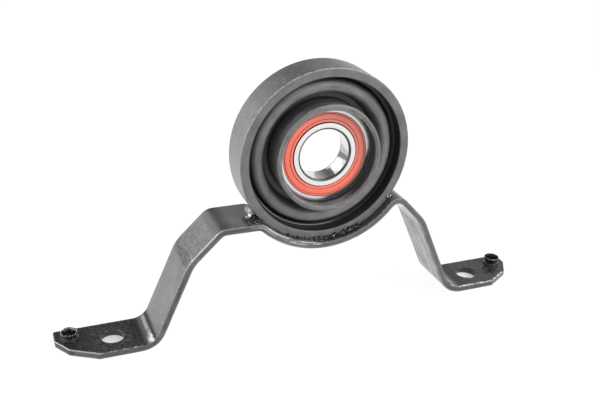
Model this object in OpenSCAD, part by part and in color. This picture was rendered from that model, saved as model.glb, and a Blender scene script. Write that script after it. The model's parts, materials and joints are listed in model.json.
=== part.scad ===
// Driveshaft centre bearing: a sealed ball bearing in a rubber ring, carried by a welded strap bracket.
// Millimetres. The origin is the centre of the bearing. The shaft runs along Y with the front at -Y,
// the strap lies along X and Z points up.

/* [Bearing] */
// Diameter of the bore that takes the shaft
bore_d = 30; // [28:0.5:32]
// Outside diameter of the bearing
bearing_d = 55; // [54:0.5:57]
// Width of both races
bearing_w = 13; // [12.5:0.5:16]
// Chamfer on the outer corners of the outer race
outer_chamfer = 1; // [0.4:0.1:1.4]
// Chamfer at the ends of the bore
bore_chamfer = 0.8; // [0.3:0.1:1.4]
// Diameter of one ball
ball_d = 7.144; // [6.4:0.1:7.5]
// Number of balls
ball_count = 11; // [8:1:11]
// Clearance between a ball and its raceways
ball_play = 0.03; // [0.01:0.01:0.1]
// Radius of the raceway groove as a share of the ball's diameter
groove_share = 0.52; // [0.51:0.005:0.54]
// Radial gap between the shoulders of the two races
shoulder_gap = 4.6; // [4:0.1:5]

/* [Seals] */
// Thickness of a seal
seal_t = 1.3; // [0.8:0.1:1.5]
// Depth of a seal's face below the faces of the races
seal_recess = 0.3; // [0.1:0.1:0.5]
// Gap between a seal's lip and the inner race
seal_gap = 0.25; // [0.1:0.05:0.5]
// Step from the outer race's shoulder to the mouth of the seal's seat
seal_step = 1.6; // [1:0.1:1.8]
// Depth of the groove that the seal's rim snaps into
seal_groove = 0.6; // [0.3:0.1:0.8]
// Width and depth of the rings pressed into a seal's face
seal_ring = 0.35; // [0.2:0.05:0.5]

/* [Cage] */
// Thickness of the cage's sheet
cage_t = 0.8; // [0.5:0.1:0.9]
// Radial width of the cage
cage_w = 3; // [2:0.1:3.4]
// Clearance between a ball and its pocket
pocket_play = 0.12; // [0.05:0.01:0.2]
// Diameter of a rivet's shank
rivet_d = 1.4; // [1:0.1:1.6]
// Width of a rivet's head beyond its shank
rivet_head = 0.45; // [0.3:0.05:0.6]

/* [Rubber ring] */
// Thickness of the steel sleeve round the bearing
sleeve_t = 1.2; // [0.8:0.1:1.6]
// Thickness of the rubber collar on that sleeve
collar_t = 1.8; // [1.2:0.1:2.4]
// Distance that the collar's lip stands in front of the bearing
lip_reach = 6.9; // [4:0.1:9]
// Clearance between the lip and the bearing's outside
lip_clear = 0.3; // [0.1:0.1:0.5]
// Rounding of the lip's edges
lip_round = 0.8; // [0.3:0.1:1]
// Distance that the collar and the sleeve reach behind the bearing
collar_back = 2.4; // [1.4:0.1:4]
// Wall thickness of the fold
fold_t = 2.6; // [2:0.1:2.8]
// Outside rounding of the fold's crest
crest_round = 3.1; // [2.9:0.1:3.2]
// Width across the fold's crest, measured to its corners
crest_w = 5.7; // [5.5:0.1:6]
// Radius at the middle of the fold's crest
crest_r = 39.1; // [38.8:0.1:39.3]
// Depth of the fold's crest behind the ring's front
crest_depth = 4.9; // [2:0.1:6]
// Depth of the fold's two roots behind its crest
root_depth = 9.5; // [8:0.5:11]
// Outward lean of each side of the fold, from crest to root
flank_lean = 2.2; // [1.8:0.1:2.4]
// Rounding in the bottom of the two grooves beside the fold
root_round = 0.8; // [0.5:0.1:1]
// Thickness of the rubber lining inside the ring
lining_t = 1.3; // [1:0.1:1.6]
// Depth of the lining's front edge behind the ring's front
lining_depth = 6.2; // [3:0.1:8]
// Depth of the lining's back edge inside the ring's back
lining_back = 1.2; // [0.6:0.1:2]

/* [Outer ring] */
// Outside diameter of the ring
ring_d = 102; // [100:0.5:106]
// Wall thickness of the ring
ring_t = 5.4; // [5:0.1:5.8]
// Width of the ring along the shaft
ring_w = 20.8; // [20:0.2:24]
// Chamfer on the ring's edges
ring_chamfer = 0.6; // [0.2:0.1:1]

/* [Bracket] */
// Thickness of the strap
strap_t = 4; // [3:0.1:5]
// Width of the strap
strap_w = 29.4; // [27:0.2:36]
// Offset of ring and strap behind the middle of the bearing
bracket_shift = 0.8; // [0:0.1:1.5]
// Height of the shaft's axis above the undersides of the feet
axis_height = 102.9; // [95:0.1:115]
// Angle that the strap wraps the ring, from straight down to the left
wrap_left = 43; // [38:0.5:48]
// Angle that the strap wraps the ring, from straight down to the right
wrap_right = 48; // [44:0.5:52]
// Straight run from the wrap to the corner of the shelf
left_run = 3.2; // [2.6:0.1:8]
// Length of the shelf, corner to corner
shelf_len = 21.5; // [15:0.5:30]
// Length of the left slope, corner to corner
left_slope_len = 23.5; // [18:0.5:30]
// Angle of the left slope below level
left_slope = 44; // [38:0.5:50]
// Angle of the left leg below level
left_leg = 66.5; // [60:0.5:75]
// Straight run from the wrap to the corner of the crest
right_run = 6.6; // [5.6:0.1:10]
// Length of the right slope, corner to corner
right_slope_len = 23.9; // [18:0.1:30]
// Angle of the right slope below level
right_slope = 46.5; // [42:0.5:52]
// Angle of the right leg below level
right_leg = 65.5; // [60:0.5:75]
// Inside radius of the bends beside the ring and at the shelf's end
tight_bend = 4.3; // [3:0.1:5]
// Inside radius of the bends between slope and leg
knee_bend = 22; // [10:1:30]
// Inside radius of the bend above the left foot
left_foot_bend = 10.5; // [5:0.5:14]
// Inside radius of the bend above the right foot
right_foot_bend = 14; // [5:0.5:18]

/* [Feet] */
// Length of the left foot from its bend's corner
left_foot_len = 54.5; // [52:0.5:70]
// Length of the right foot from its bend's corner
right_foot_len = 56; // [52:0.5:70]
// Diameter of the bolt holes
bolt_hole_d = 13; // [9:0.5:15]
// Distance of a bolt hole from its bend's corner
bolt_run = 23.3; // [20:0.1:28]
// Length of the slanted front corner along the foot
nose_len = 21.4; // [15:0.1:25]
// Width of the slanted front corner across the foot's end
nose_w = 19.4; // [14:0.1:22]
// Distance from the foot's end to the corner between the two slants
nose_mid_x = 6.4; // [5:0.1:8]
// Distance from the strap's front edge to the corner between the two slants
nose_mid_y = 8.9; // [6:0.1:10]

/* [Locating sleeves] */
// Bore of a locating sleeve
pilot_d = 6.6; // [5:0.1:7.2]
// Wall thickness of a locating sleeve
pilot_t = 0.8; // [0.5:0.1:1]
// Height of a locating sleeve above the foot
pilot_h = 5.2; // [4:0.1:8]
// Width of the collar that seats on the foot
pilot_flange = 1.2; // [0.6:0.1:1.6]
// Outward flare of the sleeve's mouth
pilot_flare = 0.7; // [0.3:0.1:1]
// Distance of a locating sleeve from its bend's corner
pilot_run = 46.4; // [42:0.1:47]
// Offset of a locating sleeve behind the middle of the strap
pilot_shift = 5.4; // [3:0.1:6.5]

/* [Welds] */
// Throat of the weld beads on the ledges before and behind the ring
bead_r = 2.7; // [1.5:0.1:4]
// Angle that each of those beads covers
bead_span = 52; // [30:1:70]
// Radius of the weld in the notch on the left of the ring
notch_weld_left = 4.2; // [3.5:0.1:4.5]
// Radius of the weld in the notch on the right of the ring
notch_weld_right = 3.6; // [3:0.1:4]
// Angle from the end of the wrap to the middle of a notch weld
notch_turn = 7; // [5:0.5:9]

/* [Hidden] */
$fn = 96;
eps = 0.01;
// Height of the seam where a round bend meets a straight side
seam = 0.02;
// Distance that the cut at the outside of a bend runs past the sheet's face
overrun = 0.5;
// Depth that the fold's ends run into the collar and the lining that they are moulded with
bond = 0.5;

bore_r = bore_d / 2;
bearing_r = bearing_d / 2;
half_w = bearing_w / 2;
pitch_r = (bore_r + bearing_r) / 2;
ball_r = ball_d / 2;
groove_r = groove_share * ball_d;
groove_off = groove_r - ball_r - ball_play;
inner_land = pitch_r - shoulder_gap / 2;
outer_land = pitch_r + shoulder_gap / 2;

seal_mouth = outer_land + seal_step;
seal_rim = seal_mouth + seal_groove;
seal_lip = inner_land + seal_gap;
seal_front = half_w - seal_recess;
seal_back = seal_front - seal_t;
seal_rings = [seal_lip + 0.3 * (seal_mouth - seal_lip), seal_lip + 0.84 * (seal_mouth - seal_lip)];

sleeve_r = bearing_r + sleeve_t;
collar_r = sleeve_r + collar_t;
collar_end = half_w + collar_back;
lip_front = -half_w - lip_reach;
lip_r = bearing_r + lip_clear;

ring_r = ring_d / 2;
ring_in = ring_r - ring_t;
ring_front = bracket_shift - ring_w / 2;
ring_back = bracket_shift + ring_w / 2;
strap_front = bracket_shift - strap_w / 2;
strap_back = bracket_shift + strap_w / 2;

crest_y = ring_front + crest_depth;
root_y = crest_y + root_depth;
crest_in = crest_r - crest_w / 2;
crest_out = crest_r + crest_w / 2;

pilot_r = pilot_d / 2;
pilot_out = pilot_r + pilot_t;
foot_top = strap_t - axis_height;

// Unit vector at an angle
function ray(a) = [cos(a), sin(a)];
// The same vector turned a quarter turn to the left
function left_of(v) = [-v[1], v[0]];
// Left or right turn at corner i of a path, in degrees, left positive
function turn_at(p, i) =
    let (a = p[i] - p[i - 1], b = p[i + 1] - p[i])
    atan2(a[0] * b[1] - a[1] * b[0], a * b);
// Direction of the side that starts at corner i
function heading(p, i) = (p[i + 1] - p[i]) / norm(p[i + 1] - p[i]);
// Radius of the bend on the path's own line, given the bend's inside radius
function line_radius(p, i, r, t) = turn_at(p, i) > 0 ? r + t : r;
// Length of a side that the bend at corner i takes up
function bend_cut(p, i, r, t) =
    line_radius(p, i, r[i - 1], t) * tan(abs(turn_at(p, i)) / 2);
// Centre of the bend at corner i
function bend_centre(p, i, r, t) =
    let (d = heading(p, i - 1), s = sign(turn_at(p, i)))
    p[i] - d * bend_cut(p, i, r, t) + s * left_of(d) * line_radius(p, i, r[i - 1], t);

// Corner i of the sheet's left face, before bending
function mitre(p, i, t) =
    let (n = left_of(heading(p, max(i - 1, 0))), m = left_of(heading(p, min(i, len(p) - 2))))
    p[i] + t * (n + m) / (1 + n * m);
// Distance along a side at which a bend of radius r stands off it by the seam
function seam_run(r) = sqrt(2 * r * seam);
// Points where the bend at corner i starts and ends, further out by more, on the face at height rise
function bend_start(p, i, r, t, more, rise) =
    let (d = heading(p, i - 1))
    p[i] - d * (bend_cut(p, i, r, t) + more) + rise * left_of(d);
function bend_end(p, i, r, t, more, rise) =
    let (d = heading(p, i))
    p[i] + d * (bend_cut(p, i, r, t) + more) + rise * left_of(d);
// Points at corner i of the sheet's right and left faces: a chord inside a bend, the corner outside it
function is_end(p, i) = i == 0 || i == len(p) - 1;
function right_points(p, i, r, t) =
    is_end(p, i) || turn_at(p, i) > 0 ? [p[i]] :
    let (m = seam_run(r[i - 1]))
    [bend_start(p, i, r, t, m, 0), bend_end(p, i, r, t, m, 0)];
function left_points(p, i, r, t) =
    is_end(p, i) || turn_at(p, i) < 0 ? [mitre(p, i, t)] :
    let (m = seam_run(r[i - 1]))
    [bend_end(p, i, r, t, m, t), bend_start(p, i, r, t, m, t)];

// The underside of the strap, from the end of the left foot to the end of the right foot
wrap_r = ring_r + strap_t;
wrap_end_left = wrap_r * ray(270 - wrap_left);
wrap_end_right = wrap_r * ray(270 + wrap_right);
wrap_corner = wrap_r / cos((wrap_left + wrap_right) / 2) * ray(270 + (wrap_right - wrap_left) / 2);
shelf_in = wrap_end_left + left_run * ray(180 - wrap_left);
shelf_out = shelf_in - [shelf_len, 0];
left_knee = shelf_out + left_slope_len * ray(180 + left_slope);
left_drop = axis_height + left_knee[1];
left_heel = left_knee + left_drop / sin(left_leg) * ray(180 + left_leg);
crest = wrap_end_right + right_run * ray(wrap_right);
right_knee = crest + right_slope_len * ray(-right_slope);
right_drop = axis_height + right_knee[1];
right_heel = right_knee + right_drop / sin(right_leg) * ray(-right_leg);
left_end = left_heel - [left_foot_len, 0];
right_end = right_heel + [right_foot_len, 0];
strap_path = [left_end, left_heel, left_knee, shelf_out, shelf_in, wrap_corner,
    crest, right_knee, right_heel, right_end];
strap_bends = [left_foot_bend, knee_bend, tight_bend, tight_bend, ring_r, tight_bend, knee_bend,
    right_foot_bend];

// The front face of the rubber fold as radius and depth, from the collar to the lining
fold_path = [[collar_r - bond, root_y], [crest_in - flank_lean, root_y], [crest_in, crest_y],
    [crest_out, crest_y], [crest_out + flank_lean, root_y], [ring_in - lining_t + bond, root_y]];
fold_bends = [root_round, crest_round - fold_t, crest_round - fold_t, root_round];

function two_digits(i) = str(i < 10 ? "0" : "", i);
function ball_name(i) = str("ball_", two_digits(i));

// Sheet of constant thickness on the left of a path, with true round bends
module bent_sheet(p, r, t) {
    last = len(p) - 1;
    right_side = [for (i = [0:last]) each right_points(p, i, r, t)];
    left_side = [for (i = [0:last]) each left_points(p, last - i, r, t)];
    difference() {
        polygon(concat(right_side, left_side));
        for (i = [1:last - 1]) {
            c = bend_centre(p, i, r, t);
            outer = turn_at(p, i) > 0 ? p[i] : mitre(p, i, t);
            rise = turn_at(p, i) > 0 ? 0 : t;
            inset = -seam_run(r[i - 1] + t);
            from = bend_start(p, i, r, t, inset, rise);
            to = bend_end(p, i, r, t, inset, rise);
            past = overrun * (to - from) / norm(to - from);
            translate(c) circle(r[i - 1]);
            difference() {
                polygon([from - past, outer + (outer - c) / 4, to + past]);
                translate(c) circle(r[i - 1] + t);
            }
        }
    }
}

// Turns a shape made round Z so that its axis lies along the shaft, with its top at the back
module along_shaft() {
    rotate([-90, 0, 0]) children();
}

// Revolves a profile of radius and depth round the shaft
module revolved() {
    along_shaft() rotate_extrude() children();
}

// Extrudes a profile drawn in X and Z over a stretch of the shaft's direction
module across(from, to) {
    translate([0, to, 0]) rotate([90, 0, 0]) linear_extrude(to - from) children();
}

// Places children at each of the balls, or between the balls with half = 0.5
module at_balls(half = 0) {
    for (i = [1:ball_count])
        rotate([0, 0, (i - 1 + half) * 360 / ball_count]) translate([pitch_r, 0, 0]) children();
}

// The corner cut from the front of a foot; end is the foot's end and out points past it
module nose_cut(end, out) {
    far = strap_w;
    translate([end, strap_front, -axis_height - strap_t])
        scale([out, 1, 1])
            linear_extrude(3 * strap_t)
                polygon([[-nose_len, 0], [-nose_mid_x, nose_mid_y], [0, nose_w],
                    [far, nose_w], [far, -far], [-nose_len, -far]]);
}

// Round hole through a foot
module foot_hole(x, y, r) {
    translate([x, y, -axis_height - strap_t]) cylinder(r = r, h = 3 * strap_t);
}

module strap_bracket() {
    color([0.2, 0.2, 0.21])
        difference() {
            across(strap_front, strap_back) bent_sheet(strap_path, strap_bends, strap_t);
            nose_cut(left_end[0], -1);
            nose_cut(right_end[0], 1);
            foot_hole(left_heel[0] - bolt_run, bracket_shift, bolt_hole_d / 2);
            foot_hole(right_heel[0] + bolt_run, bracket_shift, bolt_hole_d / 2);
            foot_hole(left_heel[0] - pilot_run, bracket_shift + pilot_shift, pilot_out);
            foot_hole(right_heel[0] + pilot_run, bracket_shift + pilot_shift, pilot_out);
        }
}

module outer_ring() {
    c = ring_chamfer;
    color([0.3, 0.3, 0.31])
        revolved()
            polygon([[ring_in, ring_front + c], [ring_in + c, ring_front], [ring_r - c, ring_front],
                [ring_r, ring_front + c], [ring_r, ring_back - c], [ring_r - c, ring_back],
                [ring_in + c, ring_back], [ring_in, ring_back - c]]);
}

// Convex bead in the corner between a face of the ring and the strap's ledge; out is -1 at the front
module ledge_bead(face, out) {
    color([0.12, 0.12, 0.12])
        along_shaft()
            rotate([0, 0, 90 - bead_span / 2])
                rotate_extrude(angle = bead_span)
                    translate([ring_r, face])
                        intersection() {
                            circle(bead_r);
                            translate([-bead_r, out > 0 ? 0 : -bead_r]) square(bead_r);
                        }
}

module weld_front() {
    ledge_bead(ring_front, -1);
}

module weld_rear() {
    ledge_bead(ring_back, 1);
}

// Bead across the strap in the notch where it leaves the ring
module notch_weld(angle, r) {
    color([0.5, 0.5, 0.5])
        across(ring_front + ring_chamfer, ring_back - ring_chamfer)
            difference() {
                translate(ring_r * ray(angle)) circle(r);
                circle(ring_r, $fn = 720);
                bent_sheet(strap_path, strap_bends, strap_t, $fn = 720);
            }
}

module weld_left() {
    notch_weld(270 - wrap_left - notch_turn, notch_weld_left);
}

module weld_right() {
    notch_weld(270 + wrap_right + notch_turn, notch_weld_right);
}

// Flared hollow collar that stands on a foot, with its shank pressed through it
module locating_sleeve(x) {
    t = pilot_t;
    color([0.1, 0.1, 0.1])
        translate([x, bracket_shift + pilot_shift, foot_top])
            rotate_extrude()
                polygon([[pilot_r, -strap_t], [pilot_out, -strap_t], [pilot_out, 0],
                    [pilot_out + pilot_flange, 0], [pilot_out + pilot_flange, t / 2], [pilot_out + t / 2, t],
                    [pilot_out, 2 * t], [pilot_out, pilot_h - 3 * t], [pilot_out + pilot_flare, pilot_h - t],
                    [pilot_out + pilot_flare, pilot_h - t / 2], [pilot_out + pilot_flare - t / 2, pilot_h],
                    [pilot_r + pilot_flare, pilot_h], [pilot_r, pilot_h - 3 * t]]);
}

module locating_sleeve_left() {
    locating_sleeve(left_heel[0] - pilot_run);
}

module locating_sleeve_right() {
    locating_sleeve(right_heel[0] + pilot_run);
}

// Rectangle with two rounded corners on the side of lower depth
module rounded_front(from, to, front, back, r) {
    translate([from, front + r]) square([to - from, back - front - r]);
    translate([from + r, front]) square([to - from - 2 * r, 2 * r]);
    for (x = [from + r, to - r])
        translate([x, front + r]) circle(r);
}

module rubber_ring() {
    color([0.15, 0.15, 0.16])
        revolved() {
            difference() {
                rounded_front(lip_r, collar_r, lip_front, collar_end, lip_round);
                translate([0, -half_w]) square([sleeve_r, bearing_w + collar_back + eps]);
            }
            bent_sheet(fold_path, fold_bends, fold_t);
            translate([ring_in - lining_t, ring_front + lining_depth])
                square([lining_t, ring_w - lining_depth - lining_back]);
        }
}

module bearing_sleeve() {
    color([0.6, 0.6, 0.6])
        revolved() {
            translate([bearing_r, -half_w]) square([sleeve_t, bearing_w + collar_back]);
            translate([seal_rim, half_w]) square([bearing_r - seal_rim, sleeve_t]);
        }
}

// The seat for a seal at one end of the outer race, as a profile to cut away
module seal_seat(out) {
    scale([1, out]) {
        translate([outer_land - eps, seal_back]) square([seal_rim - outer_land + eps, seal_t]);
        translate([outer_land - eps, seal_front - eps])
            square([seal_mouth - outer_land + eps, seal_recess + 2 * eps]);
    }
}

module outer_race() {
    c = outer_chamfer;
    color([0.85, 0.85, 0.86])
        revolved()
            difference() {
                polygon([[outer_land, -half_w], [bearing_r - c, -half_w], [bearing_r, c - half_w],
                    [bearing_r, half_w - c], [bearing_r - c, half_w], [outer_land, half_w]]);
                translate([pitch_r - groove_off, 0]) circle(groove_r);
                seal_seat(1);
                seal_seat(-1);
            }
}

module inner_race() {
    c = bore_chamfer;
    color([0.88, 0.88, 0.89])
        revolved()
            difference() {
                polygon([[bore_r, c - half_w], [bore_r + c, -half_w], [inner_land, -half_w],
                    [inner_land, half_w], [bore_r + c, half_w], [bore_r, half_w - c]]);
                translate([pitch_r + groove_off, 0]) circle(groove_r);
            }
}

// Flat ring with a snap-in rim and pressed rings in its face; out is -1 at the front
module seal(out) {
    color([0.85, 0.3, 0.22])
        revolved()
            scale([1, out])
                difference() {
                    union() {
                        translate([seal_lip, seal_back]) square([seal_mouth - seal_lip, seal_t]);
                        translate([outer_land, seal_back]) square([seal_rim - outer_land, seal_t / 2]);
                    }
                    for (r = seal_rings)
                        translate([r, seal_front]) circle(seal_ring);
                }
}

module front_seal() {
    seal(-1);
}

module rear_seal() {
    seal(1);
}

// Half of the pressed cage: flat webs between round pockets; out is -1 at the front
module cage_half(out) {
    in = pitch_r - cage_w / 2;
    pocket = ball_r + pocket_play;
    color([0.7, 0.68, 0.62])
        along_shaft()
            rotate([out > 0 ? 0 : 180, 0, 0])
                intersection() {
                    rotate_extrude() translate([in, 0]) square([cage_w, pocket + cage_t]);
                    difference() {
                        union() {
                            cylinder(r = in + 2 * cage_w, h = cage_t);
                            at_balls() sphere(pocket + cage_t);
                        }
                        at_balls() sphere(pocket);
                        at_balls(0.5) translate([0, 0, -eps]) cylinder(d = rivet_d, h = cage_t + 2 * eps);
                    }
                }
}

module cage_front() {
    cage_half(-1);
}

module cage_rear() {
    cage_half(1);
}

module cage_rivets() {
    head_h = rivet_head;
    head_r = rivet_d / 2 + rivet_head;
    color([0.75, 0.73, 0.68])
        along_shaft()
            at_balls(0.5)
                rotate_extrude()
                    polygon([[0, -cage_t - head_h], [rivet_d / 2, -cage_t - head_h], [head_r, -cage_t],
                        [rivet_d / 2, -cage_t], [rivet_d / 2, cage_t], [head_r, cage_t],
                        [rivet_d / 2, cage_t + head_h], [0, cage_t + head_h]]);
}

module ball(i) {
    color([0.9, 0.9, 0.92])
        along_shaft()
            rotate([0, 0, (i - 1) * 360 / ball_count]) translate([pitch_r, 0, 0]) sphere(ball_r);
}

strap_bracket();
outer_ring();
weld_front();
weld_rear();
weld_left();
weld_right();
locating_sleeve_left();
locating_sleeve_right();
rubber_ring();
bearing_sleeve();
outer_race();
inner_race();
front_seal();
rear_seal();
cage_front();
cage_rear();
cage_rivets();
for (i = [1:ball_count]) ball(i);
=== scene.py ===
"""Looks of a driveshaft centre bearing: a sealed ball bearing in a folded rubber ring, inside a coated
steel ring that is welded to a bent strap bracket. Sizes are in millimetres until a mesh is made."""

import json
import math
import random

import bmesh
import bpy
from mathutils import Euler, Matrix, Vector, noise


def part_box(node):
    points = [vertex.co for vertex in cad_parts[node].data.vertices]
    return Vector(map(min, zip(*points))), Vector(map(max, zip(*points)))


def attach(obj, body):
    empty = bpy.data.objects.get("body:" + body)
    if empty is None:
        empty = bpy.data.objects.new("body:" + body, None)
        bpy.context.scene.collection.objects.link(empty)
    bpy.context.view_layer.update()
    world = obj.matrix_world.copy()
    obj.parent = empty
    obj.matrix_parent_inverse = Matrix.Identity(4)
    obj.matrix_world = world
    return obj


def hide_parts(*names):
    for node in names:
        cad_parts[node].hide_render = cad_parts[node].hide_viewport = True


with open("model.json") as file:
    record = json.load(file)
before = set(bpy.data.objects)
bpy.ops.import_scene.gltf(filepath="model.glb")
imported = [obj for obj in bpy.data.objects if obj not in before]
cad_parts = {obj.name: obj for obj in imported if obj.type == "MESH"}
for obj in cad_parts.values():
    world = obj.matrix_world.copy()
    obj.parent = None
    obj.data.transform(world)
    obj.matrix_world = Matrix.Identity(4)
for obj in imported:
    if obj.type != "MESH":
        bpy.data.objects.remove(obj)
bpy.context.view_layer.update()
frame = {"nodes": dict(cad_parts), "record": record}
nodes = frame["nodes"]
mounts = {m["name"]: m for m in frame["record"]["mounts"]}

MM = 0.001
TAU = 2 * math.pi


def box_mm(node):
    """Lowest and highest corner of a CAD node, in millimetres."""
    low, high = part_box(node)
    return low / MM, high / MM


# Sizes read from the frame
ring_low, ring_high = box_mm("outer_ring")
strap_low, strap_high = box_mm("strap_bracket")
RING_R = ring_high.x
RING_FRONT, RING_BACK = ring_low.y, ring_high.y
STRAP_FRONT, STRAP_BACK = strap_low.y, strap_high.y
STRAP_MID = (STRAP_FRONT + STRAP_BACK) / 2
LEFT_END, RIGHT_END = strap_low.x, strap_high.x
UNDERSIDE = strap_low.z
HALF_W = box_mm("inner_race")[1].y
BEARING_R = box_mm("outer_race")[1].x
BORE_R = mounts["shaft_bore"]["dims"]["r_mm"]
BOLT_R = mounts["foot_bolts"]["dims"]["hole_r_mm"]
BOLT_HALF = mounts["foot_bolts"]["dims"]["spacing_x_mm"] / 2
BOLT_MID = mounts["foot_bolts"]["pos_m"][0] / MM
PILOT_R = mounts["locating_bore_left"]["dims"]["r_mm"]
LEFT_BOLT = BOLT_MID - BOLT_HALF - LEFT_END
SIDES = ("left", "right")
PILOT_PLACES = {side: Vector(mounts["locating_bore_" + side]["pos_m"]) / MM for side in SIDES}

# Sizes of the strap that the frame doesn't state
STRAP_T = 4.0
STRAP_EDGE = 0.45
STRAP_RIM = 1.1
WRAP_LEFT, WRAP_RIGHT = 43.0, 48.0
LEFT_RUN, RIGHT_RUN = 3.2, 6.6
SHELF_LEN = 21.5
LEFT_SLOPE_LEN, LEFT_SLOPE, LEFT_LEG = 23.5, 44.0, 66.5
RIGHT_SLOPE_LEN, RIGHT_SLOPE, RIGHT_LEG = 23.9, 46.5, 65.5
TIGHT_BEND, KNEE_BEND = 4.3, 22.0
LEFT_FOOT_BEND, RIGHT_FOOT_BEND = 10.5, 14.0
BEND_STEP = 3.0
NOSE_LEN, NOSE_W, NOSE_ROUND = 21.4, 19.4, 1.3
NOSE_MID_X, NOSE_MID_Y = 6.4, 8.9
PILOT_T, PILOT_H, PILOT_FLANGE, PILOT_FLARE = 0.8, 5.2, 1.2, 0.7
PILOT_OUT = PILOT_R + PILOT_T
CROWN_FOOT, CROWN_DROP, CROWN_JAG = 1.6, 0.8, 0.8

# Welds: degrees of the ring that the front and rear ones cover, degrees from the wrap's end to the right
# notch and the size of its drops, the front end of the left notch's bare bead, and its drops of spatter
WELD_SPAN = 52
NOTCH_PAST, NOTCH_DROP = 6, 3.6
BEAD_FRONT = -3.0
SPATTER = 70
WELD_SEED, WELD_GRAIN = 11, 0.3

# Sizes of the ring, the rubber and the bearing
RING_T = 5.4
RING_EDGE = 0.7
RING_IN = RING_R - RING_T
PEBBLE_SIZE, PEBBLE_DEPTH = 1.4, 0.07
NICK_SIZE, NICK_DEPTH, NICK_FROM = 2.6, 0.45, 0.22
SEAT_T = 1.2
SLEEVE_R = BEARING_R + SEAT_T
COLLAR_R = SLEEVE_R + 1.8
COLLAR_BACK = HALF_W + 2.4
LIP_R = BEARING_R + 0.3
LIP_FRONT = -HALF_W - 6.9
LIP_ROUND, LIP_SPREAD, LIP_OPENING, LIP_REACH = 1.3, 2.0, 2.0, 6.0
SPREAD_ANGLE, TORN_ANGLE, FLASH_REACH = 50, 35, 1.5
FOLD_T, CREST_R, CREST_W, CREST_ROUND = 2.6, 39.1, 5.7, 3.1
CREST_Y = RING_FRONT + 4.9
ROOT_Y = CREST_Y + 9.5
FLANK_LEAN, ROOT_ROUND = 2.2, 0.8
LINING_R = RING_IN - 1.3
LINING_FRONT, LINING_BACK = RING_FRONT + 6.2, RING_BACK - 1.2
PITCH_R = (BORE_R + BEARING_R) / 2
BALL_D, BALL_PLAY = 7.144, 0.03
GROOVE_R = 0.52 * BALL_D
GROOVE_OFF = GROOVE_R - BALL_D / 2 - BALL_PLAY
BORE_ROUND, LAND_ROUND, MOUTH_ROUND, RIM_ROUND = 0.8, 0.25, 0.15, 1.0
INNER_LAND, OUTER_LAND = PITCH_R - 2.3, PITCH_R + 2.3
SEAL_MOUTH, SEAL_RIM, SEAL_LIP = OUTER_LAND + 1.6, OUTER_LAND + 2.2, INNER_LAND + 0.25
SEAL_FRONT = HALF_W - 0.3
SEAL_BACK = SEAL_FRONT - 1.3
SEAL_RINGS = [SEAL_LIP + share * (SEAL_MOUTH - SEAL_LIP) for share in (0.30, 0.84)]
SEAL_PRESSED, SEAL_LIP_SUNK, SEAL_GAP, SEAL_RIM_T = 0.34, 0.1, 0.02, 0.65

# Steps round each turned mesh, and the widest step along the sections of the ring and the rubber
RING_TURNS, RUBBER_TURNS, RACE_TURNS, SEAT_TURNS, COLLAR_TURNS = 540, 420, 320, 240, 96
RING_STEP, RUBBER_STEP = 1.0, 1.6

# The photograph's camera
CAMERA_PLACE = Vector((-182.985, -409.553, 175.952))
CAMERA_TILT, CAMERA_HEADING, CAMERA_ROLL = 65.209, -22.728, 2.275
LENS, SENSOR = 50.932, 36.0


# Shapes

def ray(degrees):
    """Unit vector in the plane at an angle."""
    return Vector((math.cos(math.radians(degrees)), math.sin(math.radians(degrees))))


def left_of(v):
    """The vector turned a quarter to the left."""
    return Vector((-v.y, v.x))


def rounded(corners, radii, steps):
    """Closed outline in which each corner with a radius is an arc."""
    outline = []
    count = len(corners)
    for i, radius in enumerate(radii):
        here = Vector(corners[i])
        back = (Vector(corners[i - 1]) - here).normalized()
        ahead = (Vector(corners[(i + 1) % count]) - here).normalized()
        if radius <= 0:
            outline.append(here)
            continue
        half = back.angle(ahead) / 2
        centre = here + (back + ahead).normalized() * radius / math.sin(half)
        start = here + back * radius / math.tan(half) - centre
        turn = (math.pi - 2 * half) * (1 if back.cross(ahead) < 0 else -1)
        for k in range(steps + 1):
            outline.append(centre + Matrix.Rotation(turn * k / steps, 2) @ start)
    return outline


def offset_corner(before, here, after, distance):
    """The corner of a line that runs at a distance to the left of a path's corner."""
    n = left_of((here - before).normalized())
    m = left_of((after - here).normalized())
    return here + distance * (n + m) / (1 + n.dot(m))


def spaced(start, end, step):
    """Points on a straight stretch, without its ends, no further apart than a step."""
    count = max(1, math.ceil((end - start).length / step))
    return [start.lerp(end, k / count) for k in range(1, count)]


def filled(outline, step):
    """The outline with points added where they are further apart than a step."""
    dense = []
    for i, here in enumerate(outline):
        after = outline[(i + 1) % len(outline)]
        dense += [here, *spaced(here, after, step)]
    return dense


def piece(name, bm, body, replaced, sharp=35):
    """Object of a mesh in millimetres that rides on a body and stands for CAD nodes."""
    bmesh.ops.recalc_face_normals(bm, faces=bm.faces)
    bm.transform(Matrix.Scale(MM, 4))
    mesh = bpy.data.meshes.new(name)
    bm.to_mesh(mesh)
    bm.free()
    mesh.shade_smooth()
    mesh.set_sharp_from_angle(angle=math.radians(sharp))
    made = bpy.data.objects.new(name, mesh)
    bpy.context.scene.collection.objects.link(made)
    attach(made, body)
    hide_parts(*replaced)
    return made


def turned(outline, turns, shape=None, axis_at=None):
    """Mesh of a closed outline of radius and depth, turned round the shaft, or upright at a place. The
    shape moves each point of the section."""
    bm = bmesh.new()
    rings = []
    for k in range(turns):
        a = TAU * k / turns
        ring = []
        for r, depth in outline:
            if shape:
                r, depth = shape(r, depth, a)
            if axis_at is None:
                place = (r * math.cos(a), depth, r * math.sin(a))
            else:
                place = (axis_at.x + r * math.cos(a), axis_at.y + r * math.sin(a), axis_at.z + depth)
            ring.append(bm.verts.new(place))
        rings.append(ring)
    for k, ring in enumerate(rings):
        after = rings[(k + 1) % turns]
        for i in range(len(outline)):
            j = (i + 1) % len(outline)
            bm.faces.new((ring[i], ring[j], after[j], after[i]))
    return bm


# The strap

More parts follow.
